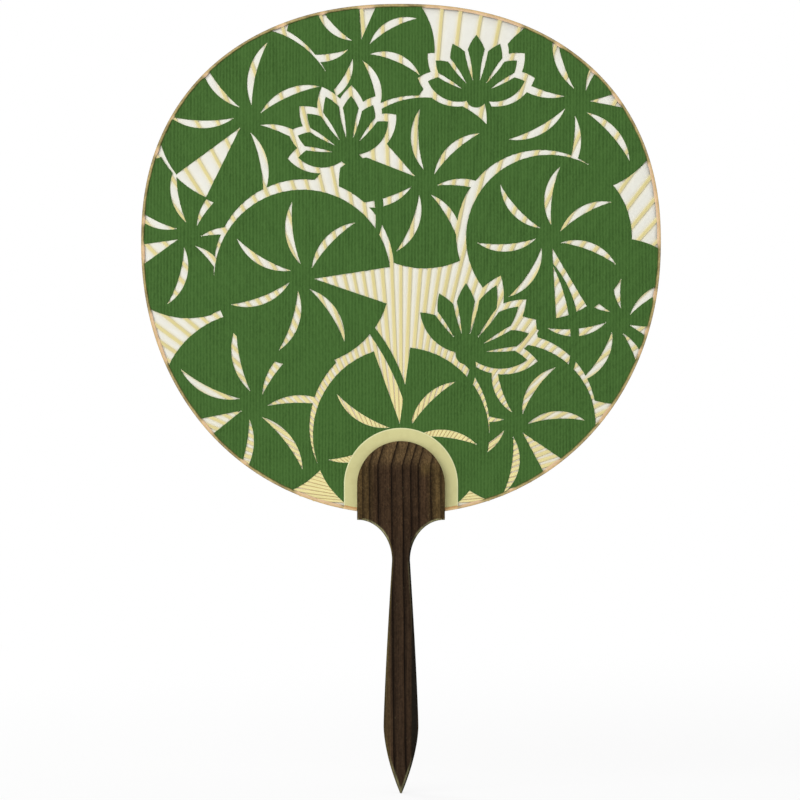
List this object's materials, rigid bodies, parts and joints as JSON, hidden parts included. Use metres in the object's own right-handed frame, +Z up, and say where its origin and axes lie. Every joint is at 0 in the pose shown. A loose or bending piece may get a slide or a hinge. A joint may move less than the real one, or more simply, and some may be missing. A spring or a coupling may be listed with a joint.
{
  "type": "round hand fan",
  "caption": "Round rigid hand fan: splayed bamboo ribs between a cut green front paper and a white back paper, bound rim, slotted and bevelled dark cedar handle.",
  "frame": {"origin": "centre of the handle's cross-section at the widest point of the grip, midway through its thickness", "axes": "+Z up the handle towards the top of the blade, the fan's longest extent; -Y out of the green front, Y being the shortest extent; +X to the right as the front is seen"},
  "size_m": [0.2442, 0.01, 0.3707],
  "materials": {
    "charred_cedar": "charred, brushed and waxed, semi-matt with raised grain",
    "bamboo": "split and planed, satin",
    "green_paper": "thick dyed laid paper, matt",
    "white_paper": "thin handmade paper, matt",
    "binding_paper": "thin folded strip, glued, matt",
    "patch_paper": "thick cream paper, matt"
  },
  "bodies": {
    "root": {"handle": "charred_cedar", "front_sheet": "green_paper", "back_sheet": "white_paper", "edge_binding": "binding_paper", "base_patch_front": "patch_paper", "base_patch_back": "patch_paper", "rib_centre": "bamboo", "rib_pair_1": "bamboo", "rib_pair_2": "bamboo", "rib_pair_3": "bamboo", "rib_pair_4": "bamboo", "rib_pair_5": "bamboo", "rib_pair_6": "bamboo", "rib_pair_7": "bamboo", "rib_pair_8": "bamboo", "rib_pair_9": "bamboo", "rib_pair_10": "bamboo", "rib_pair_11": "bamboo", "rib_pair_12": "bamboo", "rib_pair_13": "bamboo", "rib_pair_14": "bamboo", "rib_pair_15": "bamboo", "rib_pair_16": "bamboo", "rib_pair_17": "bamboo", "rib_pair_18": "bamboo", "rib_pair_19": "bamboo", "rib_pair_20": "bamboo", "rib_pair_21": "bamboo", "rib_pair_22": "bamboo", "rib_pair_23": "bamboo", "rib_pair_24": "bamboo", "rib_pair_25": "bamboo", "rib_pair_26": "bamboo", "rib_pair_27": "bamboo", "rib_pair_28": "bamboo", "rib_pair_29": "bamboo", "rib_pair_30": "bamboo", "rib_pair_31": "bamboo", "rib_pair_32": "bamboo", "rib_pair_33": "bamboo", "rib_pair_34": "bamboo", "rib_pair_35": "bamboo", "rib_pair_36": "bamboo", "rib_pair_37": "bamboo"}
  },
  "joints": []
}
